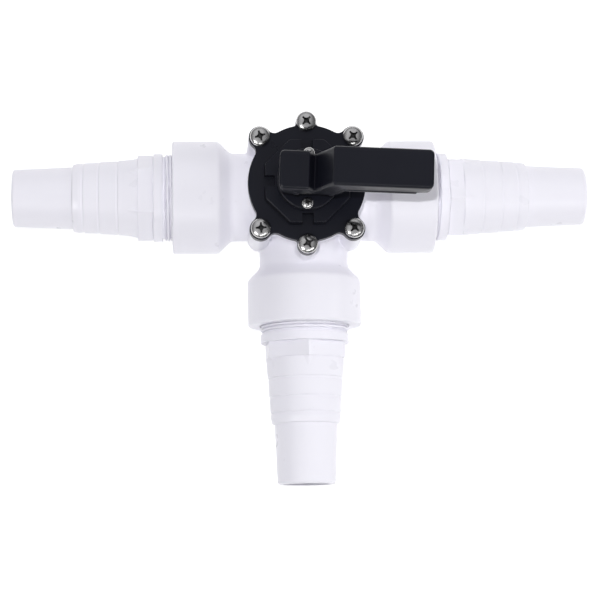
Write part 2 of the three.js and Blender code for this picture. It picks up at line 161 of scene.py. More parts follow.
def lug_size(spot):
    """Radius of the lug round a cover screw, and of the fillet that joins it to the rim."""
    if abs(spot[0]) < 1:
        return AXIS_LUG_RADIUS, AXIS_LUG_FILLET
    return LUG_RADIUS, LUG_FILLET


def arc(centre, radius, angles):
    return [centre + radius * np.array([math.cos(a), math.sin(a)]) for a in angles]


def lug_outline(radius):
    """A circle with six rounded lugs, each joined to it by a hollow fillet."""
    points = []
    for spot in lug_places():
        distance, angle = np.linalg.norm(spot), math.atan2(spot[1], spot[0])
        lug, fillet = lug_size(spot)
        reach = radius + fillet
        cosine = (reach ** 2 + distance ** 2 - (lug + fillet) ** 2) / (2 * reach * distance)
        spread = math.acos(cosine)
        for side in (-1, 1):
            toward = angle + side * spread
            centre = reach * np.array([math.cos(toward), math.sin(toward)])
            to_lug = math.atan2(*(spot - centre)[::-1])
            to_axis = toward + math.pi
            sweep = (to_lug - to_axis + math.pi) % TURN - math.pi
            hollow = arc(centre, fillet, np.linspace(to_axis, to_axis + sweep, 8))
            points += hollow if side < 0 else hollow[::-1]
            if side < 0:
                start = to_lug + math.pi
                finish = 2 * angle - start
                sweep = (finish - start) % TURN
                points += arc(spot, lug, np.linspace(start, start + sweep, 26)[1:-1])
        points.append(None)
    return joined_by_arcs(points, radius)


def joined_by_arcs(points, radius):
    """The points with every None replaced by an arc of the circle between its neighbours."""
    outline = []
    for i, point in enumerate(points):
        if point is not None:
            outline.append(point)
            continue
        before, after = points[i - 1], points[(i + 1) % len(points)]
        start = math.atan2(before[1], before[0])
        sweep = (math.atan2(after[1], after[0]) - start) % TURN
        for angle in np.linspace(start, start + sweep, max(3, round(sweep * 24)))[1:-1]:
            outline.append(radius * np.array([math.cos(angle), math.sin(angle)]))
    return np.array(outline)


# -------------------------------------------------------------------- meshes

def mesh_object(points, faces):
    mesh = bpy.data.meshes.new("shape")
    mesh.from_pydata(np.asarray(points, float).tolist(), [], faces)
    shape = bpy.data.objects.new("shape", mesh)
    bpy.context.scene.collection.objects.link(shape)
    return shape


def bands(rows, columns, closed):
    """Quads between rings of points numbered row by row."""
    index = np.arange(rows * columns).reshape(rows, columns)
    lower = index if closed else index[:-1]
    upper = np.roll(index, -1, axis=0) if closed else index[1:]
    quads = np.stack([lower, np.roll(lower, -1, 1), np.roll(upper, -1, 1), upper], axis=-1)
    return quads.reshape(-1, 4).tolist()


def lathe(profile, columns=144, swell=None):
    """A profile of (radius, height) points turned round Z, anticlockwise in that plane.
    It starts and ends on the axis, or else it closes on itself. swell(angle, height, radius)
    may change the radius."""
    profile = np.asarray(profile, float)
    capped = profile[0, 0] == 0 and profile[-1, 0] == 0
    rows = profile[1:-1] if capped else profile
    angle = np.arange(columns)[None, :] * TURN / columns
    radius = np.repeat(rows[:, :1], columns, axis=1)
    height = np.repeat(rows[:, 1:], columns, axis=1)
    if swell:
        radius = swell(angle, height, radius)
    points = np.stack([radius * np.cos(angle), radius * np.sin(angle), height], axis=-1).reshape(-1, 3)
    faces = bands(len(rows), columns, not capped)
    if capped:
        first, last = len(points), len(points) + 1
        points = np.vstack([points, [0, 0, profile[0, 1]], [0, 0, profile[-1, 1]]])
        top = len(faces) // columns * columns
        for j in range(columns):
            k = (j + 1) % columns
            faces.append([first, k, j])
            faces.append([last, top + j, top + k])
    return mesh_object(points, faces)


def stack(rings):
    """A closed solid from rings of points, lowest first, with flat ends."""
    columns = len(rings[0])
    faces = bands(len(rings), columns, False)
    last = (len(rings) - 1) * columns
    faces.append(list(range(columns))[::-1])
    faces.append([last + j for j in range(columns)])
    return mesh_object(np.vstack(rings), faces)


def ring_at(outline, height):
    return np.column_stack([outline, np.full(len(outline), height)])


def slab(outline, bottom, top, edge, foot=0.0, draft=0.0):
    """An outline raised from bottom to top. Its walls lean in by draft, its top edge is
    rounded by edge and its bottom edge by foot."""
    rings = []
    if foot:
        for angle in np.linspace(0, math.pi / 2, 4):
            inset = foot * (1 - math.sin(angle))
            rings.append(ring_at(offset(outline, inset), bottom + foot * (1 - math.cos(angle))))
    else:
        rings.append(ring_at(outline, bottom))
    for angle in np.linspace(0, math.pi / 2, 5):
        inset = draft + edge * (1 - math.cos(angle))
        rings.append(ring_at(offset(outline, inset), top - edge * (1 - math.sin(angle))))
    return stack(rings)


def rectangle(x0, x1, y0, y1, corner):
    places = [(x1, y0), (x1, y1), (x0, y1), (x0, y0)]
    return rounded([(x, y, corner) for x, y in places], closed=True)


def block(x0, x1, y0, y1, z0, z1):
    """A plain cutter."""
    plan = np.array([[x1, y0], [x1, y1], [x0, y1], [x0, y0]], float)
    return stack([ring_at(plan, z0), ring_at(plan, z1)])


def side_cutter(points, half):
    """A cutter with an outline in X and Z, from -half to half in Y."""
    flat = np.array(points, float)
    near = np.column_stack([flat[:, 0], np.full(len(flat), -half), flat[:, 1]])
    far = near + [0, 2 * half, 0]
    return stack([far, near])


def disc(radius, bottom, top, columns=96):
    return lathe([(0, bottom), (radius, bottom), (radius, top), (0, top)], columns)


def moved(shape, matrix):
    shape.data.transform(matrix)
    return shape


def shifted(shape, x, y):
    return moved(shape, Matrix.Translation((x, y, 0)))


def settle(shape):
    """Applies a shape's modifiers."""
    graph = bpy.context.evaluated_depsgraph_get()
    mesh = bpy.data.meshes.new_from_object(shape.evaluated_get(graph))
    shape.modifiers.clear()
    shape.data = mesh
    return shape


def combine(shape, others, operation):
    for other in others:
        modifier = shape.modifiers.new("combine", "BOOLEAN")
        modifier.operation = operation
        modifier.solver = "MANIFOLD"
        modifier.object = other
    settle(shape)
    for other in others:
        bpy.data.objects.remove(other)
    return shape


def cut(shape, *others):
    return combine(shape, others, "DIFFERENCE")


def join(shape, *others):
    return combine(shape, others, "UNION")


# ------------------------------------------------- surfaces from a distance field

def filleted(a, b, radius):
    """Distance to two shapes joined by a hollow fillet."""
    hollow = np.hypot(np.maximum(radius - a, 0), np.maximum(radius - b, 0))
    return np.maximum(radius, np.minimum(a, b)) - hollow


def common(a, b, radius):
    """Distance to what two shapes share, with its edges rounded."""
    round_edge = np.hypot(np.maximum(radius + a, 0), np.maximum(radius + b, 0))
    return np.minimum(-radius, np.maximum(a, b)) + round_edge


def polygon_distance(x, y, polygon):
    """Signed distance to a polygon, negative inside."""
    best = np.full(x.shape, np.inf)
    inside = np.zeros(x.shape, bool)
    for (ax, ay), (bx, by) in zip(polygon, np.roll(polygon, -1, axis=0)):
        dx, dy = bx - ax, by - ay
        along = np.clip(((x - ax) * dx + (y - ay) * dy) / (dx * dx + dy * dy), 0, 1)
        best = np.minimum(best, np.hypot(x - ax - along * dx, y - ay - along * dy))
        if dy:
            crosses = (ay > y) != (by > y)
            inside ^= crosses & (x < ax + dx * (y - ay) / dy)
    return np.where(inside, -best, best)


def net_points(values, cells, corner):
    """Mean of the points where the field changes sign on the edges of each cell."""
    total = np.zeros((len(cells), 3))
    hits = np.zeros(len(cells))
    for a in range(8):
        for b in range(a):
            if np.abs(corner[a] - corner[b]).sum() != 1:
                continue
            crossing = (values[:, a] < 0) != (values[:, b] < 0)
            gap = np.where(crossing, values[:, a] - values[:, b], 1)
            point = corner[a] + (values[:, a] / gap)[:, None] * (corner[b] - corner[a])
            total += np.where(crossing[:, None], point, 0)
            hits += crossing
    return cells + total / hits[:, None]


def net_faces(inside, number):
    """One quad round each grid edge on which the field changes sign."""
    faces = []
    for axis in range(3):
        u, v = (axis + 1) % 3, (axis + 2) % 3
        low = np.take(inside, range(inside.shape[axis] - 1), axis)
        high = np.take(inside, range(1, inside.shape[axis]), axis)
        edges = np.argwhere(low != high)
        step_u, step_v = np.eye(3, dtype=int)[u], np.eye(3, dtype=int)[v]
        around = [edges, edges - step_u, edges - step_u - step_v, edges - step_v]
        quads = np.stack([number[tuple(cell.T)] for cell in around], axis=1)
        outward = inside[tuple(edges.T)]
        quads[~outward] = quads[~outward][:, ::-1]
        faces += quads.tolist()
    return faces


def surface(field, low, high, step):
    """The closed surface where field(x, y, z) is zero, in quads of about a step."""
    sides = [np.arange(a, b + step, step) for a, b in zip(low, high)]
    values = field(*np.meshgrid(*sides, indexing="ij", sparse=True))
    inside = values < 0
    corner = np.array([[i, j, k] for i in (0, 1) for j in (0, 1) for k in (0, 1)])
    n = np.array(values.shape) - 1
    count = sum(inside[i:n[0] + i, j:n[1] + j, k:n[2] + k].astype(np.int8) for i, j, k in corner)
    mixed = (count > 0) & (count < 8)
    cells = np.argwhere(mixed)
    number = np.full(mixed.shape, -1)
    number[tuple(cells.T)] = np.arange(len(cells))
    around = cells[:, None] + corner[None]
    at_corners = values[tuple(around.transpose(2, 0, 1))]
    points = np.array(low) + step * net_points(at_corners, cells, corner)
    for _ in range(3):
        points = pulled(points, field)
    return mesh_object(points, net_faces(inside, number))


def pulled(points, field):
    """Points moved along the field's slope onto its zero surface."""
    nudge = 0.01
    x, y, z = points.T
    here = field(x, y, z)
    slope = np.stack([field(x + nudge, y, z) - here, field(x, y + nudge, z) - here,
                      field(x, y, z + nudge) - here], axis=1) / nudge
    steep = np.maximum(np.sum(slope ** 2, axis=1), 0.2)
    return points - slope * np.clip(here / steep, -0.4, 0.4)[:, None]


# ----------------------------------------------------------------- materials

def new_material(name, roughness, metallic=0.0):
    """A material, its nodes and links, and its shader."""
    material = bpy.data.materials.new(name)
    material.use_nodes = True
    tree = material.node_tree
    shader = tree.nodes["Principled BSDF"]
    shader.inputs["Metallic"].default_value = metallic
    shader.inputs["Roughness"].default_value = roughness
    return material, tree, shader


def noise(tree, scale, detail, stretch=(1, 1, 1)):
    """Noise in the object's own space, in features per metre."""
    coordinates = tree.nodes.new("ShaderNodeTexCoord")
    mapping = tree.nodes.new("ShaderNodeMapping")
    mapping.inputs["Scale"].default_value = stretch
    texture = tree.nodes.new("ShaderNodeTexNoise")
    texture.inputs["Scale"].default_value = scale
    texture.inputs["Detail"].default_value = detail
    tree.links.new(coordinates.outputs["Object"], mapping.inputs["Vector"])
    tree.links.new(mapping.outputs["Vector"], texture.inputs["Vector"])
    return texture.outputs["Fac"]


def ranged(tree, value, low, high, out_low, out_high):
    """A value taken from the range low to high into another range."""
    node = tree.nodes.new("ShaderNodeMapRange")
    limits = {"From Min": low, "From Max": high, "To Min": out_low, "To Max": out_high}
    for name, number in limits.items():
        node.inputs[name].default_value = number
    tree.links.new(value, node.inputs["Value"])
    return node.outputs["Result"]


def times(tree, first, second):
    node = tree.nodes.new("ShaderNodeMath")
    node.operation = "MULTIPLY"
    tree.links.new(first, node.inputs[0])
    tree.links.new(second, node.inputs[1])
    return node.outputs[0]


# Places of the colour sockets among a Mix node's inputs, and among its outputs
MIX_COLORS, MIX_RESULT = (6, 7), 2


def blended(tree, share, first, second):
    """A mix of two colours, each a tuple or a node's output."""
    node = tree.nodes.new("ShaderNodeMix")
    node.data_type = "RGBA"
    tree.links.new(share, node.inputs["Factor"])
    for number, color in zip(MIX_COLORS, (first, second)):
        socket = node.inputs[number]
        if isinstance(color, tuple):
            socket.default_value = (*color, 1)
        else:
            tree.links.new(color, socket)
    return node.outputs[MIX_RESULT]


def bumped(tree, shader, layers):
    """Stacks (height, strength, distance in mm) bump layers on the shader."""
    normal = None
    for height, strength, distance in layers:
        node = tree.nodes.new("ShaderNodeBump")
        node.inputs["Strength"].default_value = strength
        node.inputs["Distance"].default_value = distance * MM
        tree.links.new(height, node.inputs["Height"])
        if normal:
            tree.links.new(normal, node.inputs["Normal"])
        normal = node.outputs["Normal"]
    tree.links.new(normal, shader.inputs["Normal"])


def moulded_plastic(name, light, dark, roughness, specular, grain):
    """Moulded plastic: flow marks in colour, a slightly uneven gloss, fine scuffs and skin."""
    material, tree, shader = new_material(name, roughness)
    shader.inputs["Specular IOR Level"].default_value = specular
    flow = noise(tree, 22, 4)
    scuffs = noise(tree, 260, 5, (1, 6, 3))
    tone = blended(tree, ranged(tree, flow, 0.3, 0.7, 0, 1), dark, light)
    marked = ranged(tree, scuffs, 0.3, 0.9, 0, 0.15)
    tree.links.new(blended(tree, marked, tone, dark), shader.inputs["Base Color"])
    gloss = ranged(tree, noise(tree, 90, 5), 0.3, 0.7, roughness - 0.05, roughness + 0.06)
    tree.links.new(gloss, shader.inputs["Roughness"])
    bumped(tree, shader, [(noise(tree, 60, 2), 0.15, 0.05), (noise(tree, 1800, 2), 0.3, grain)])
    return material


def turned_steel(name, dark, light, roughness):
    """Stainless steel: faint tumbling marks and small stains."""
    material, tree, shader = new_material(name, roughness, 1.0)
    stain = ranged(tree, noise(tree, 300, 3), 0.35, 0.65, 0, 1)
    tree.links.new(blended(tree, stain, dark, light), shader.inputs["Base Color"])
    gloss = ranged(tree, noise(tree, 700, 4), 0.3, 0.7, roughness - 0.04, roughness + 0.06)
    tree.links.new(gloss, shader.inputs["Roughness"])
    bumped(tree, shader, [(noise(tree, 400, 2), 0.2, 0.02), (noise(tree, 2600, 2), 0.2, 0.005)])
    return material


def moulded_rubber(name):
    """Black rubber: a dull skin, uneven in shade and gloss."""
    material, tree, shader = new_material(name, 0.62)
    shade = ranged(tree, noise(tree, 300, 4), 0.3, 0.7, 0, 1)
    tone = blended(tree, shade, (0.014, 0.014, 0.014), (0.03, 0.03, 0.029))
    tree.links.new(tone, shader.inputs["Base Color"])
    gloss = ranged(tree, noise(tree, 700, 4), 0.3, 0.7, 0.5, 0.75)
    tree.links.new(gloss, shader.inputs["Roughness"])
    bumped(tree, shader, [(noise(tree, 1500, 3), 0.4, 0.02)])
    return material


# Each plastic: light colour, dark colour, roughness, specular level, height of its grain in mm
PLASTICS = {
    "white_abs": ((0.84, 0.83, 0.89), (0.832, 0.822, 0.884), 0.32, 0.4, 0.02),
    "black_plastic": ((0.0085, 0.0092, 0.0145), (0.0065, 0.0070, 0.0115), 0.32, 0.22, 0.008),
    "grey_plastic": ((0.47, 0.49, 0.52), (0.43, 0.45, 0.48), 0.5, 0.4, 0.02),
    "slip_plastic": ((0.86, 0.84, 0.78), (0.80, 0.78, 0.71), 0.5, 0.4, 0.02),
}
MATERIALS = {name: moulded_plastic(name, *look) for name, look in PLASTICS.items()}
MATERIALS["stainless_steel"] = turned_steel(
    "stainless_steel", (0.55, 0.545, 0.54), (0.63, 0.625, 0.62), 0.22)
MATERIALS["seal_rubber"] = moulded_rubber("seal_rubber")
# A dark steel that paints the shade inside a screw's cross recess
RECESS_PAINTED_SHADE = turned_steel("recess_painted_shade", (0.05, 0.05, 0.05), (0.12, 0.12, 0.12), 0.4)


def place(shape, node, body, slot, smooth=33, matrix=None):
    """Turns a shape in millimetres into the piece that stands for a CAD node. Edges that
    bend by more than smooth degrees stay sharp."""
    mesh = shape.data
    if matrix:
        mesh.transform(matrix)
    mesh.transform(Matrix.Scale(MM, 4))
    mesh.validate()
    mesh.polygons.foreach_set("use_smooth", [True] * len(mesh.polygons))
    mesh.set_sharp_from_angle(angle=math.radians(smooth))
    normals = shape.modifiers.new("normals", "WEIGHTED_NORMAL")
    normals.keep_sharp = True
    settle(shape)
    shape.name = f"{node}_piece"
    shape.data.name = shape.name
    if not any(shape.data.materials):
        shape.data.materials.clear()
        shape.data.materials.append(MATERIALS[slot])
    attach(shape, body)
    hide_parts(node)


# ---------------------------------------------------------------- valve body

def core_field(x, y, z):
    """The chamber, the necks of the three ports and the six screw bosses, all filleted."""
    from_stem = np.hypot(x, y) - CHAMBER_RADIUS
    chamber = np.maximum(common(from_stem, -z, 2.5), z - (JOINT_HEIGHT - 1))
    run = np.maximum(np.hypot(y, z - PORT_HEIGHT) - NECK_RADIUS, np.abs(x) - (CONE_START + 4))
    branch = np.hypot(x, z - PORT_HEIGHT) - NECK_RADIUS
    branch = np.maximum(branch, np.maximum(y, -y - (CONE_START + 4)))
    tee = filleted(filleted(chamber, run, 3.0), branch, 3.0)
    for spot in lug_places():
        radius, _ = lug_size(spot)
        boss = common(np.hypot(x - spot[0], y - spot[1]) - radius, BOSS_BOTTOM - z, 4.0)
        tee = filleted(tee, np.maximum(boss, z - (JOINT_HEIGHT - 1)), 1.6)
    return tee


def port_collar():
    """The socket's outside, along Z, from inside the neck to its face. Its sleeve stands
    just clear of the neck, so that the two don't share a surface."""
    sleeve = NECK_RADIUS + 0.08
    return lathe(rounded([
        (0, CONE_START - 9, 0), (NECK_RADIUS - 1, CONE_START - 9, 0), (sleeve, CONE_START - 5, 3),
        (sleeve, CONE_START, 5), (COLLAR_RADIUS, CONE_START + COLLAR_RADIUS - NECK_RADIUS, 3.5),
        (COLLAR_RADIUS, COLLAR_FACE, 1.2), (0, COLLAR_FACE, 0),
    ]), 168)


def port_bore():
    """Cutter for a port's waterway, its seat for the adapter's nose and its socket."""
    lead_in = SOCKET_BORE + 1
    return lathe([
        (0, 0), (PORT_BORE, 0), (PORT_BORE, NOSE_SEAT_START), (NOSE_SEAT, NOSE_SEAT_START),
        (NOSE_SEAT, SOCKET_START - 0.6), (SOCKET_BORE, SOCKET_START),
        (SOCKET_BORE, COLLAR_FACE - 0.8), (lead_in, COLLAR_FACE + 0.2),
        (lead_in, COLLAR_FACE + 2), (0, COLLAR_FACE + 2),
    ], 168)


def screw_holes(bottom, top):
    """Cutters for the six cover screws."""
    return [shifted(disc(SCREW_HOLE, bottom, top, 32), *spot) for spot in lug_places()]


def build_body():
    low = (-47, -47, -1.5)
    high = (47, 43, JOINT_HEIGHT + 1)
    body = surface(core_field, low, high, 0.8)
    collars = [moved(port_collar(), LIFT @ turn) for _, turn, _ in PORTS]
    flange = slab(lug_outline(COVER_RADIUS - 0.6), JOINT_HEIGHT - 7, JOINT_HEIGHT, 0.4, 0.5)
    join(body, flange, *collars)
    chamber = disc(CHAMBER_BORE, CHAMBER_FLOOR, JOINT_HEIGHT + 1, 168)
    pivot_socket = disc(PIVOT_RADIUS + GAP, PIVOT_LOW - GAP, 8, 64)
    bores = [moved(port_bore(), LIFT @ turn) for _, turn, _ in PORTS]
    cut(body, chamber, pivot_socket, *screw_holes(JOINT_HEIGHT - 9.6, JOINT_HEIGHT + 1), *bores)
    place(body, "valve_body", "body", "white_abs")


# --------------------------------------------------------------------- cover

def cover_dome():
    """The eight-sided boss on the cover, with a groove across the middle of every other side."""
    corner_radius = DOME_APOTHEM / math.cos(math.pi / 8)
    octagon = [(corner_radius * math.cos(angle), corner_radius * math.sin(angle), DOME_CORNER)
               for angle in (np.arange(8) + 0.5) * math.pi / 4]
    dome = slab(rounded(octagon, closed=True), COVER_TOP - 1, DOME_TOP, 0.5, 0, 0.6)
    grooves = []
    for quarter in range(4):
        groove = block(17.4, 30, -3, 3, COVER_TOP, DOME_TOP + 1)
        grooves.append(moved(groove, Matrix.Rotation(quarter * math.pi / 2, 4, "Z")))
    return cut(dome, *grooves)


def cover_spigot():
    """The plug under the cover, with its O-ring groove."""
    outside, floor = SPIGOT_RADIUS, SPIGOT_GROOVE_FLOOR
    low, high = COVER_RING_HEIGHT - RING_GROOVE, COVER_RING_HEIGHT + RING_GROOVE
    return lathe(rounded([
        (0, SPIGOT_BOTTOM, 0), (outside, SPIGOT_BOTTOM, 0.4),
        (outside, low, 0), (floor, low, 0.3), (floor, high, 0.3), (outside, high, 0),
        (outside, COVER_BOTTOM + 1, 0), (0, COVER_BOTTOM + 1, 0),
    ]), 168)


def cover_well():
    """Cutter for the round well in the dome, with a chamfered rim."""
    rim = WELL_RADIUS + 0.6
    return lathe(rounded([
        (0, WELL_FLOOR, 0), (WELL_RADIUS, WELL_FLOOR, 0.5), (WELL_RADIUS, DOME_TOP - 0.4, 0),
        (rim, DOME_TOP + 0.2, 0), (rim, DOME_TOP + 1, 0), (0, DOME_TOP + 1, 0),
    ]))


def build_cover():
    cover = slab(lug_outline(COVER_RADIUS), COVER_BOTTOM, COVER_TOP, 0.7, 0.3)
    join(cover, cover_dome(), cover_spigot())
    stem_hole = disc(STEM_HOLE, SPIGOT_BOTTOM - 1, DOME_TOP)
    cut(cover, cover_well(), stem_hole, *screw_holes(COVER_BOTTOM - 1, COVER_TOP + 1))
    place(cover, "cover", "body", "black_plastic")


# -------------------------------------------------------------------- screws

def cross_cutter(width, span, fillet, floor, top):
    """A cross recess with hollow flanks, which narrows with depth, its faces carrying painted shade."""
    half, reach = width / 2, span / 2
    quarter = [(reach, -half, 0.25), (reach, half, 0.25), (half, half, fillet)]
    outline = []
    for turn in range(4):
        cos, sin = round(math.cos(turn * math.pi / 2)), round(math.sin(turn * math.pi / 2))
        outline += [(cos * x - sin * y, sin * x + cos * y, radius) for x, y, radius in quarter]
    outline = rounded(outline, closed=True)
    levels = ((0.5, floor), (0.72, floor + 0.35), (1, top))
    cross = stack([ring_at(outline * share, z) for share, z in levels])
    give_steel_and_painted_recess_shade(cross)
    # Every face of the recess takes the second material, the painted shade
    cross.data.polygons.foreach_set("material_index", [1] * len(cross.data.polygons))
    return cross


def give_steel_and_painted_recess_shade(shape):
    """Bright steel first, and second a dark steel that paints the shade inside a recess."""
    shape.data.materials.append(MATERIALS["stainless_steel"])
    shape.data.materials.append(RECESS_PAINTED_SHADE)


def pan_screw(head, height, shank, length, pitch):
    """A self-tapping pan-head screw, with a recess in proportion. Its axis is Z and the
    underside of its head is at 0. head and shank are radii."""
    root = shank * 0.76
    crown = []
    for angle in np.linspace(0, math.pi / 2, 13)[1:-1]:
        crown.append((head * math.cos(angle) ** 0.92, height * (0.3 + 0.7 * math.sin(angle))))
    tip = [(0, -length), (root * 0.35, -length + 0.3)]
    threads = [(root, z) for z in np.arange(-length + 2 * shank, -0.6, pitch / 8)]
    skirt = [(root, -0.4), (shank, 0), (head * 0.97, 0), (head, height * 0.1), (head, height * 0.3)]
    profile = [*tip, *threads, *skirt, *crown, (0, height)]

    def swell(angle, z, radius):
        phase = np.mod(z / pitch - angle / TURN, 1)
        ridge = np.clip(1 - np.abs(phase - 0.5) * 4, 0, 1)
        fade = np.clip((z + length - 1.5 * shank) / shank, 0, 1) * np.clip((-0.8 - z) / 0.8, 0, 1)
        return radius + (shank - root) * ridge * fade

    screw = lathe(profile, 64, swell)
    give_steel_and_painted_recess_shade(screw)
    recess = cross_cutter(0.2 * head, 1.16 * head, 0.3 * head, 0.44 * height, height + 0.15)
    return cut(screw, recess)


# How far each cover screw's recess is turned, in degrees
COVER_RECESSES = [38, 45, 17, 3, 28, 47]


def build_cover_screws():
    for number, (spot, recess) in enumerate(zip(lug_places(), COVER_RECESSES), start=1):
        screw = pan_screw(head=5.4, height=3.4, shank=2.6, length=15, pitch=1.8)
        turn = Matrix.Rotation(math.radians(recess), 4, "Z")
        seat = Matrix.Translation((*spot, COVER_TOP + GAP))
        place(screw, f"cover_screw_{number}", "body", "stainless_steel", 40, seat @ turn)


# ------------------------------------------------------------------- O-rings

def o_ring(radius, section, height):
    """A ring from the radius of its middle line and that of its section."""
    ring = circle(section, 20) + [radius, height]
    return lathe(ring, 120)


# Each ring's middle radius and the radius of its section
COVER_RING = (24.65, 1.05)
STEM_RING = (8.9, 1.1)
ADAPTER_RING = (18.4, 1.3)
THRUST_BORE, THRUST_RADIUS, THRUST_THICKNESS = 11.0, 22.0, 0.9


def build_rings():
    place(o_ring(*COVER_RING, COVER_RING_HEIGHT), "cover_o_ring", "body", "seal_rubber", 60)
    for number, height in enumerate(STEM_RING_HEIGHTS, start=1):
        place(o_ring(*STEM_RING, height), f"stem_o_ring_{number}", "rotor", "seal_rubber", 60)
    low = DISC_TOP + GAP
    washer = lathe(rectangle(THRUST_BORE, THRUST_RADIUS, low, low + THRUST_THICKNESS, 0.2))
    place(washer, "thrust_washer", "body", "slip_plastic")


# -------------------------------------------------------------- hose adapters

# Heights are along the adapter, from the inner face of its rim; its tip is at TAIL_STOP.
THREAD_CREST, THREAD_ROOT, THREAD_PITCH, THREAD_LENGTH = 23.9, 22.6, 1.814, 22.0
THREAD_RUN_OUT = -0.9
NOSE_LENGTH, NOSE_RADIUS, NOSE_BORE = 11.5, 19.6, 15.1
RIM_RADIUS = 24.2
HEX_START, HEX_END, HEX_APOTHEM, HEX_CORNER, HEX_CORE = 5.0, 13.8, 20.8, 23.95, 20.5
TAIL_WIDE, TAIL_WIDE_END, TAIL_STEP, TAIL_STOP = 21.3, 19.1, 49.2, 82.0
TAIL_BORE = 13.1
LEAD_START = 45.8
BARBS = (24.0, 34.3, 42.9)


def adapter_nose():
    """The plain nose below the thread, with its O-ring groove."""
    middle = -THREAD_LENGTH - NOSE_LENGTH / 2
    ring, section = ADAPTER_RING
    low, high = middle - section - GAP, middle + section + GAP
    floor = ring - section - GAP
    tip = -THREAD_LENGTH - NOSE_LENGTH
    return rounded([
        (NOSE_BORE, tip, 0), (NOSE_RADIUS, tip, 0.8),
        (NOSE_RADIUS, low, 0.2), (floor, low, 0.2), (floor, high, 0.2), (NOSE_RADIUS, high, 0.2),
        (NOSE_RADIUS, -THREAD_LENGTH, 0),
    ])


def adapter_tail():
    """The hose tail: three barbs on a cone, a shoulder and a narrower end."""
    slope = (TAIL_WIDE_END - TAIL_WIDE) / (LEAD_START - HEX_END)
    barbs = []
    for at in BARBS:
        radius = TAIL_WIDE + slope * (at - HEX_END)
        barbs += [(radius, at, 0.15), (radius - 0.5, at + 0.25, 0.15),
                  (radius - 0.5, at + 0.9, 0.3), (radius - 0.3, at + 1.4, 0.6)]
    return rounded([
        (TAIL_WIDE, HEX_END + 0.02, 0), *barbs, (TAIL_WIDE_END, LEAD_START, 4),
        (18.4, TAIL_STEP, 0.9), (17.1, TAIL_STEP, 0.4), (15.75, TAIL_STOP, 1.5),
        (TAIL_BORE, TAIL_STOP, 0.5), (TAIL_BORE, TAIL_STOP - 2, 0),
    ])


def adapter_outside():
    """Radius and height of the adapter's outside, from its nose to its tip."""
    inner = np.arange(-THREAD_LENGTH, -8, 0.35)
    outer = np.arange(-8, THREAD_RUN_OUT, 0.16)
    threads = [(THREAD_ROOT, z) for z in [*inner, *outer]]
    rim = rounded([
        (THREAD_ROOT, THREAD_RUN_OUT, 0), (THREAD_ROOT, 0, 0.25), (RIM_RADIUS, 0, 0.6),
        (RIM_RADIUS, HEX_START, 0.5), (HEX_CORE, HEX_START, 0.2), (HEX_CORE, HEX_START + 0.6, 0),
    ])
    hexagon = [(HEX_CORE, z) for z in (6.5, 8, 9.5, 11, 12.2, 12.9, 13.3, 13.6, HEX_END)]
    return [*adapter_nose(), *threads, *rim, *hexagon, *adapter_tail()]


def adapter_swell(angle, z, radius):
    """Adds the thread and the hexagon to the turned outline."""
    phase = np.mod(z / THREAD_PITCH - angle / TURN, 1)
    ridge = np.clip(2.1 - np.abs(phase - 0.5) * 4.2, 0, 1)
    ends = np.clip((z + THREAD_LENGTH) / 1.5, 0, 1) * np.clip((-1.0 - z) / 0.5, 0, 1)
    on_thread = (radius > NOSE_RADIUS) & (z <= THREAD_RUN_OUT) & (z >= -THREAD_LENGTH)
    radius = np.where(on_thread, radius + (THREAD_CREST - THREAD_ROOT) * ridge * ends, radius)
    from_flat = np.mod(angle + TURN / 12, TURN / 6) - TURN / 12
    chamfer = np.clip((z - (HEX_END - 0.5)) / 0.5, 0, 1) * 0.35
    flats = np.minimum(HEX_APOTHEM / np.cos(from_flat), HEX_CORNER) - chamfer
    on_hexagon = (z > HEX_START + 0.3) & (z <= HEX_END)
    return np.where(on_hexagon, np.maximum(radius, flats), radius)


def build_adapters():
    inside = [(TAIL_BORE, TAIL_STEP + 2), (14.7, TAIL_STEP - 6), (NOSE_BORE, 8), (NOSE_BORE, -33)]
    for name, turn, hex_turn in PORTS:
        node = f"{name}_adapter"
        low, high = corners(node)
        tip = max(np.abs(np.concatenate([low[:2], high[:2]])))
        face = tip - TAIL_STOP
        along = LIFT @ turn @ Matrix.Translation((0, 0, face))
        spin = Matrix.Rotation(math.radians(hex_turn), 4, "Z")
        adapter = lathe([*adapter_outside(), *inside], 180, adapter_swell)
        place(adapter, node, "body", "white_abs", 30, along @ spin)
        ring = o_ring(*ADAPTER_RING, -THREAD_LENGTH - NOSE_LENGTH / 2)
        place(ring, f"{node}_o_ring", "body", "seal_rubber", 60, along)


# ------------------------------------------------------- what turns with the lever

SPIN = Matrix.Rotation(REST_TURN, 4, "Z")
BLOCK_TOP, BLOCK_END, BLOCK_FRONT = 107.7, -16.8, -0.6
VALLEY_X, VALLEY_Z = 2.6, 101.5
GRIP_START, GRIP_END = 11.0, 63.4
LEVER_HALF, LEVER_LEAN, LEVER_WALL, LEVER_DEPTH = 10.2, 0.09, 2.4, 10.0
LEVER_FOOT = 90.0
LIP_WIDTH, LIP_HEIGHT = 0.45, 1.4


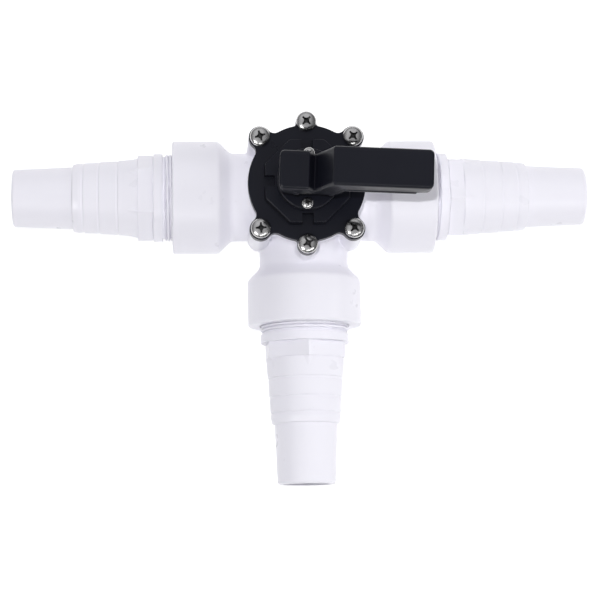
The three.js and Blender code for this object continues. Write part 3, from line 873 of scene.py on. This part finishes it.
def lever_field(x, y, z):
    """The lever's outside, down to its foot: a side outline and a rounded plan together."""
    side = np.array([
        (BLOCK_END, 60), (GRIP_END, 60), (GRIP_END, GRIP_TOP), (GRIP_START, GRIP_TOP),
        (VALLEY_X, VALLEY_Z), (BLOCK_FRONT, BLOCK_TOP), (BLOCK_END, BLOCK_TOP),
    ], float)
    softness = 0.8
    x, z = np.broadcast_arrays(x, z)
    above = polygon_distance(x, z, offset(side, softness)) - softness
    corner = 3.0
    middle, half_length = (BLOCK_END + GRIP_END) / 2, (GRIP_END - BLOCK_END) / 2 - LIP_WIDTH
    over_x = np.abs(x - middle) - (half_length - corner)
    over_y = np.abs(y) - (LEVER_HALF + LEVER_LEAN * np.clip(-above, 0, LEVER_DEPTH) - corner)
    outside = np.hypot(np.maximum(over_x, 0), np.maximum(over_y, 0))
    plan = outside + np.minimum(np.maximum(over_x, over_y), 0) - corner
    lip = np.clip((-above - LEVER_DEPTH + LIP_HEIGHT) / 0.4, 0, 1)
    return np.maximum(common(above, plan - LIP_WIDTH * lip, 1.8), LEVER_FOOT - z)


def under_lever():
    """Cutter that leaves the lever's skirt LEVER_DEPTH high under its block, ramp and grip."""
    run, rise = GRIP_START - VALLEY_X, GRIP_TOP - VALLEY_Z
    knee = BLOCK_TOP - LEVER_DEPTH
    shin = GRIP_TOP - LEVER_DEPTH

    def under_ramp(z):
        return VALLEY_X + (z - VALLEY_Z) * run / rise + LEVER_DEPTH * math.hypot(run, rise) / rise

    return side_cutter([(-30, 60), (90, 60), (90, shin), (under_ramp(shin), shin),
                        (under_ramp(knee), knee), (-30, knee)], 20)


def lever_bar():
    """The lever's hollow bar, open below, with four ribs across the grip."""
    low, high = (-18, -12, LEVER_FOOT - 2), (64, 12, GRIP_TOP + 2)
    bar = surface(lever_field, low, high, 0.4)
    hollow = surface(lambda x, y, z: lever_field(x, y, z) + LEVER_WALL, low, high, 0.7)
    half_rib = 0.9
    cut(hollow, *[block(at - half_rib, at + half_rib, -20, 20, 70, 130) for at in (22, 32, 42, 52)])
    return cut(bar, hollow, under_lever())


def handle_screw_holes(bottom, top):
    """Cutters for the two screws that hold the handle to its hub."""
    return [shifted(disc(HANDLE_SCREW_HOLE, bottom, top, 32), 0, side * HANDLE_SCREW_OFFSET)
            for side in (-1, 1)]


def build_handle():
    handle = lever_bar()
    post = slab(rectangle(-13, 11, -8.8, 8.8, 2.5), FLANGE_TOP - 1, BLOCK_TOP - LEVER_DEPTH + 1, 0.2)
    flange = lathe(rounded([
        (0, HANDLE_LOW, 0), (HUB_DISC_RADIUS, HANDLE_LOW, 0.3),
        (HUB_DISC_RADIUS, FLANGE_TOP, 0.6), (0, FLANGE_TOP, 0),
    ]))
    join(handle, post, flange)
    room = slab(rectangle(-10.6, 8.6, -6.4, 6.4, 1.6), HANDLE_LOW - 1, BLOCK_TOP - LEVER_DEPTH + 2, 0.2)
    cut(handle, room, *handle_screw_holes(HANDLE_LOW - 1, FLANGE_TOP + 1))
    place(handle, "handle", "rotor", "black_plastic", 33, SPIN)


def build_hub():
    disc_low = DOME_TOP + 2 * GAP
    hub = lathe(rounded([
        (0, HUB_LOW, 0), (HUB_RADIUS, HUB_LOW, 0.4), (HUB_RADIUS, disc_low, 0.2),
        (HUB_DISC_RADIUS, disc_low, 0.3), (HUB_DISC_RADIUS, HUB_HIGH, 0.5), (0, HUB_HIGH, 0),
    ]))
    reach = SQUARE_HALF + GAP
    square = block(-reach, reach, -reach, reach, HUB_LOW - 1, HUB_HIGH + 1)
    washer_room = disc(HUB_WASHER_RADIUS + 2 * GAP, HUB_SEAT, HUB_HIGH + 1)
    cut(hub, square, washer_room, *handle_screw_holes(HUB_LOW + 1.2, HUB_HIGH + 1))
    place(hub, "drive_hub", "rotor", "black_plastic", 33, SPIN)


def build_hub_screws():
    """The screw and washer that hold the hub, and the two screws that hold the handle."""
    low = HUB_SEAT + GAP
    high = low + HUB_WASHER_THICKNESS
    washer = lathe(rounded([
        (HUB_WASHER_BORE, low, 0.15), (HUB_WASHER_RADIUS, low, 0.2),
        (HUB_WASHER_RADIUS, high, 0.3), (HUB_WASHER_BORE, high, 0.15),
    ], closed=True), 96)
    place(washer, "hub_washer", "rotor", "stainless_steel", 33, SPIN)
    screw = pan_screw(head=4.7, height=3.0, shank=2.2, length=14, pitch=1.6)
    seat = Matrix.Translation((0, 0, high + GAP))
    place(screw, "hub_screw", "rotor", "stainless_steel", 40, SPIN @ seat)
    for number, side in ((1, -1), (2, 1)):
        screw = pan_screw(head=3.1, height=2.4, shank=1.5, length=8.4, pitch=1.1)
        spot = Matrix.Translation((0, side * HANDLE_SCREW_OFFSET, FLANGE_TOP + GAP))
        turn = Matrix.Rotation(math.radians(20 * number), 4, "Z")
        place(screw, f"handle_screw_{number}", "rotor", "stainless_steel", 40, SPIN @ spot @ turn)


def sector(inner, outer, half_angle, bottom, top):
    """A curved wall round Z, centred on +X."""
    angle = np.linspace(-half_angle, half_angle, 49)
    ring = np.concatenate([
        np.stack([outer * np.cos(angle), outer * np.sin(angle)], 1),
        np.stack([inner * np.cos(angle), inner * np.sin(angle)], 1)[::-1],
    ])
    return stack([ring_at(ring, bottom), ring_at(ring, top)])


SEAL_INNER, SEAL_OUTER, SEAL_REACH, SEAL_THICKNESS = 16.3, 18.3, 25.7, 2.0
ROTOR_RADIUS, STEM_RADIUS, STEM_GROOVE_FLOOR = 25.4, 10.0, 7.5
FOOT_LOW, FOOT_TOP = 7.0, 10.0
BLADE_INNER, BLADE_OUTER, BLADE_HALF_ANGLE = 20.8, 25.2, math.radians(48)
HUB_SCREW_HOLE, HUB_SCREW_DEPTH = 2.5, 14.0


def seal_band(margin, reach):
    """The ring on the blade's face that its seal fills, larger all round by a margin."""
    inner, outer = SEAL_INNER - margin, SEAL_OUTER + margin
    ring = lathe([(inner, 12), (outer, 12), (outer, 30), (inner, 30)], 120)
    moved(ring, LIFT @ Matrix.Rotation(math.pi / 2, 4, "Y"))
    back = SEAL_REACH - SEAL_THICKNESS - margin
    band = sector(back, reach, math.pi / 3, PORT_HEIGHT - 24, PORT_HEIGHT + 24)
    return combine(ring, [band], "INTERSECT")


def rotor_foot():
    """The diverter's lower disc and the pivot under it."""
    return lathe(rounded([
        (0, PIVOT_LOW, 0), (PIVOT_RADIUS, PIVOT_LOW, 0.6), (PIVOT_RADIUS, FOOT_LOW, 0.3),
        (ROTOR_RADIUS, FOOT_LOW, 0.4), (ROTOR_RADIUS, FOOT_TOP, 0.4), (0, FOOT_TOP, 0),
    ]))


def rotor_stem():
    """The diverter's upper disc and its round stem, with the grooves of two O-rings."""
    grooves = []
    for height in STEM_RING_HEIGHTS:
        low, high = height - RING_GROOVE, height + RING_GROOVE
        grooves += [(STEM_RADIUS, low, 0.15), (STEM_GROOVE_FLOOR, low, 0.2),
                    (STEM_GROOVE_FLOOR, high, 0.2), (STEM_RADIUS, high, 0.15)]
    disc_low, stem_top = DISC_TOP - 3.5, HUB_LOW - GAP
    return lathe(rounded([
        (0, disc_low, 0), (ROTOR_RADIUS, disc_low, 0.4), (ROTOR_RADIUS, DISC_TOP, 0.4),
        (STEM_RADIUS, DISC_TOP, 0.5), *grooves, (STEM_RADIUS, stem_top, 0.4), (0, stem_top, 0),
    ]))


def build_diverter():
    diverter = rotor_foot()
    blade = sector(BLADE_INNER, BLADE_OUTER, BLADE_HALF_ANGLE, FOOT_TOP - 1.5, DISC_TOP - 1)
    plan = rectangle(-SQUARE_HALF, SQUARE_HALF, -SQUARE_HALF, SQUARE_HALF, 0.6)
    square = slab(plan, HUB_LOW - 2, STEM_TOP, 0.4)
    join(diverter, rotor_stem(), blade, square)
    screw_hole = disc(HUB_SCREW_HOLE, STEM_TOP - HUB_SCREW_DEPTH, STEM_TOP + 1, 32)
    cut(diverter, screw_hole, seal_band(GAP, SEAL_REACH + 1.5))
    place(diverter, "diverter", "rotor", "grey_plastic", 33, SPIN)
    place(seal_band(0, SEAL_REACH), "diverter_seal", "rotor", "seal_rubber", 50, SPIN)


build_body()
build_cover()
build_cover_screws()
build_rings()
build_adapters()
build_handle()
build_hub()
build_hub_screws()
build_diverter()


# ------------------------------------------------------ floor, light, camera

FLOOR_TOP, FLOOR_BOTTOM = -0.4, -21.0
FLOOR_GLOW = 0.69

# The view is from almost straight above. The angles, in radians, lean the camera to the
# front, lean it to the left and turn the picture.
TILT, SWING, ROLL = 0.1367, 0.0543, -0.0139
AIM = Vector((-2.29, -57.33, PORT_HEIGHT)) * MM
DISTANCE = 1.1303
LENS, SENSOR = 123.31, 36.0

# All lights are in metres and watts. The key light is just beside the lens: how far right
# and up of it, its power and its size.
KEY_RIGHT, KEY_UP, KEY_POWER, KEY_SIZE = -0.0565, 0.088, 5.9, 0.03
# Lights that show only in reflections: name, place, power, width and height
GLINTS = [
    ("strip_box", (0.3, -0.71, 0.866), 2.4, 1.0, 0.11),
    ("left_box", (-0.6, -0.55, 0.75), 4.0, 0.28, 0.28),
]
# Lights that show in no reflection: name, place, power, width and height
FILLS = [
    ("right_fill", (1.1, 0.1, 0.6), 4.2, 0.5, 0.5),
    ("front_fill", (0.3, -1.1, 0.5), 2.6, 0.5, 0.5),
    ("back_fill", (-0.2, 1.2, 0.5), 1.2, 0.5, 0.5),
]
# Where the sky dims: axis, two places along it, and the strength at each of them
SKY_FADES = [
    ("Z", 0.2, 0.6, 0.3, 0.72),  # near the horizon
    ("Z", 0.88, 0.98, 1.0, 0.6),  # straight above
    ("X", -0.9, -0.35, 0.35, 1.0),  # on the left
    ("X", 0.25, 0.65, 1.0, 0.3),  # on the right
    ("Y", -0.8, -0.3, 0.3, 1.0),  # in front
]


def build_floor():
    plate = rectangle(-3000, 3000, -3000, 3000, 1000)
    floor = stack([ring_at(plate, FLOOR_BOTTOM), ring_at(plate, FLOOR_TOP)])
    floor.data.transform(Matrix.Scale(MM, 4))
    floor.name = "floor"
    material, tree, shader = new_material("floor_paint", 0.9)
    tone = blended(tree, noise(tree, 3, 3), (0.49, 0.49, 0.50), (0.53, 0.53, 0.535))
    tree.links.new(tone, shader.inputs["Base Color"])
    shader.inputs["Specular IOR Level"].default_value = 0.1
    shader.inputs["Emission Color"].default_value = (1, 1, 1, 1)
    shader.inputs["Emission Strength"].default_value = FLOOR_GLOW
    floor.data.materials.append(material)


def view_axes():
    """The directions right, up and towards the camera."""
    back = Vector((
        -math.sin(SWING) * math.cos(TILT),
        -math.sin(TILT),
        math.cos(SWING) * math.cos(TILT),
    ))
    right = Vector((0, 1, 0)).cross(back).normalized()
    up = back.cross(right)
    cos, sin = math.cos(ROLL), math.sin(ROLL)
    return cos * right + sin * up, cos * up - sin * right, back


def build_camera():
    right, up, back = view_axes()
    camera = bpy.data.objects.new("camera", bpy.data.cameras.new("camera"))
    camera.data.sensor_width = SENSOR
    camera.data.lens = LENS
    matrix = Matrix((right, up, back)).transposed().to_4x4()
    matrix.translation = AIM + DISTANCE * back
    camera.matrix_world = matrix
    bpy.context.scene.collection.objects.link(camera)
    bpy.context.scene.camera = camera


def area_light(name, spot, energy, width, height):
    """A rectangular light that faces the point the camera aims at."""
    lamp = bpy.data.lights.new(name, "AREA")
    lamp.shape = "RECTANGLE"
    lamp.energy, lamp.size, lamp.size_y = energy, width, height
    light = bpy.data.objects.new(name, lamp)
    light.location = spot
    light.rotation_euler = (AIM - Vector(spot)).to_track_quat("-Z", "Y").to_euler()
    bpy.context.scene.collection.objects.link(light)
    return light


def build_light():
    right, up, back = view_axes()
    spot = AIM + DISTANCE * back + KEY_RIGHT * right + KEY_UP * up
    key = area_light("key", spot, KEY_POWER, KEY_SIZE, KEY_SIZE)
    key.visible_glossy = False
    for row in GLINTS:
        area_light(*row).visible_diffuse = False
    for row in FILLS:
        area_light(*row).visible_glossy = False
    world = bpy.data.worlds.new("studio")
    world.use_nodes = True
    paint_sky(world.node_tree)
    bpy.context.scene.world = world
    bpy.context.scene.view_settings.view_transform = "Standard"


def paint_sky(tree):
    """A soft pale surround, dimmed by each fade in turn."""
    coordinates = tree.nodes.new("ShaderNodeTexCoord")
    split = tree.nodes.new("ShaderNodeSeparateXYZ")
    tree.links.new(coordinates.outputs["Generated"], split.inputs[0])
    strength = None
    for axis, *limits in SKY_FADES:
        fade = ranged(tree, split.outputs[axis], *limits)
        strength = times(tree, strength, fade) if strength else fade
    background = tree.nodes["Background"]
    background.inputs["Color"].default_value = (0.97, 0.97, 1.0, 1)
    tree.links.new(strength, background.inputs["Strength"])


build_floor()
build_camera()
build_light()
